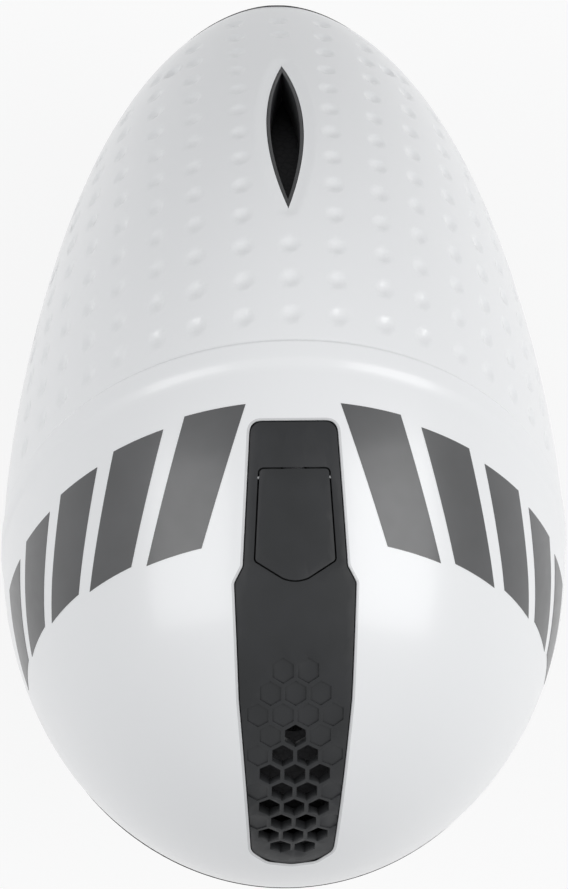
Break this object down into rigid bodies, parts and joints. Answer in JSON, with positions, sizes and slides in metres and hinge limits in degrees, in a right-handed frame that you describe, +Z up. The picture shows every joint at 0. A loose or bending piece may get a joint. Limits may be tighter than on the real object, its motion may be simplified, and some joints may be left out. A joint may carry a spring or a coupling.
{
  "type": "aero time trial helmet",
  "caption": "Long-tailed aero time trial helmet with a vented dark crown panel, sprung water door, foam liner, dial-adjusted rear cradle and buckled chin strap.",
  "frame": {"origin": "centre of the wearer's head at the headband, on the helmet's middle plane", "axes": "+Z up over the crown, +Y back towards the tail, +X to the side"},
  "size_m": [0.2174, 0.3426, 0.2801],
  "materials": {
    "white_gloss_shell": "glossy white moulded polycarbonate",
    "charcoal_plastic": "satin charcoal moulded plastic",
    "black_trim": "soft black edge strip",
    "black_foam": "black expanded foam beads",
    "black_plastic": "black moulded nylon",
    "black_webbing": "black woven webbing",
    "grey_padding": "dark grey brushed knit over foam",
    "bright_steel": "bright drawn steel"
  },
  "bodies": {
    "helmet": {"outer_shell": "white_gloss_shell", "rim_guard": "black_trim", "eps_liner": "black_foam", "vent_panel": "charcoal_plastic", "door_hinge_pin": "bright_steel", "door_spring": "bright_steel", "tail_duct": "charcoal_plastic", "temple_plug_left": "black_plastic", "temple_plug_right": "black_plastic", "temple_pin_left": "black_plastic", "temple_pin_right": "black_plastic", "height_guide": "black_plastic", "front_strap_left": "black_webbing", "front_strap_right": "black_webbing", "rear_strap_left": "black_webbing", "rear_strap_right": "black_webbing", "strap_anchors": "black_plastic", "divider_left": "black_plastic", "divider_right": "black_plastic", "chin_strap_left": "black_webbing", "chin_strap_right": "black_webbing", "buckle_female": "black_plastic", "strap_keeper": "black_trim", "chin_pad": "grey_padding", "brow_pad": "grey_padding", "top_pad_left": "grey_padding", "top_pad_right": "grey_padding", "side_pad_left": "grey_padding", "side_pad_right": "grey_padding", "ear_pad_left": "grey_padding", "ear_pad_right": "grey_padding"},
    "door": {"vent_door": "charcoal_plastic"},
    "cradle": {"rear_cradle": "black_plastic", "dial_housing": "black_plastic", "cradle_pad": "grey_padding"},
    "dial": {"dial_pinion": "black_plastic", "dial_knob": "charcoal_plastic", "dial_screw": "bright_steel"},
    "belt_left": {"belt_left": "black_plastic"},
    "belt_right": {"belt_right": "black_plastic"},
    "lever_left": {"divider_lever_left": "charcoal_plastic"},
    "lever_right": {"divider_lever_right": "charcoal_plastic"},
    "buckle": {"buckle_male": "black_plastic"}
  },
  "joints": [
    {"name": "door_swing", "type": "hinge", "parent": "helmet", "child": "door", "pos_m": [0, 0.033, 0.13147], "axis": [1, 0, 0], "range_deg": [0, 30], "stiffness_Nm_per_rad": 0.004, "springref_deg": -34.38, "deforming": ["door_spring"]},
    {"name": "cradle_tilt", "type": "hinge", "parent": "helmet", "child": "cradle", "pos_m": [0, 0.018, 0.008], "axis": [1, 0, 0], "range_deg": [-3.5, 3.5]},
    {"name": "dial_turn", "type": "hinge", "parent": "cradle", "child": "dial", "pos_m": [0, 0.018, 0.008], "axis": [0, -0.9336, 0.3584], "range_deg": [-90, 150]},
    {"name": "belt_left_slide", "type": "hinge", "parent": "cradle", "child": "belt_left", "pos_m": [0, 0.018, 0.008], "axis": [0, 0.3584, 0.9336], "range_deg": [-4.5, 7.5]},
    {"name": "belt_right_slide", "type": "hinge", "parent": "cradle", "child": "belt_right", "pos_m": [0, 0.018, 0.008], "axis": [0, -0.3584, -0.9336], "range_deg": [-4.5, 7.5]},
    {"name": "lever_left_flip", "type": "hinge", "parent": "helmet", "child": "lever_left", "pos_m": [0.07688, 0.004, -0.07584], "axis": [0, -1, 0], "range_deg": [0, 90]},
    {"name": "lever_right_flip", "type": "hinge", "parent": "helmet", "child": "lever_right", "pos_m": [-0.07688, 0.004, -0.07584], "axis": [0, 1, 0], "range_deg": [0, 90]},
    {"name": "buckle_slide", "type": "slide", "parent": "helmet", "child": "buckle", "axis": [-0.5989, -0.5338, -0.597], "range_m": [0, 0.013]}
  ],
  "couplings": [
    {"joint": "belt_left_slide", "follows": "dial_turn", "ratio": 0.049566},
    {"joint": "belt_right_slide", "follows": "dial_turn", "ratio": 0.049566}
  ]
}
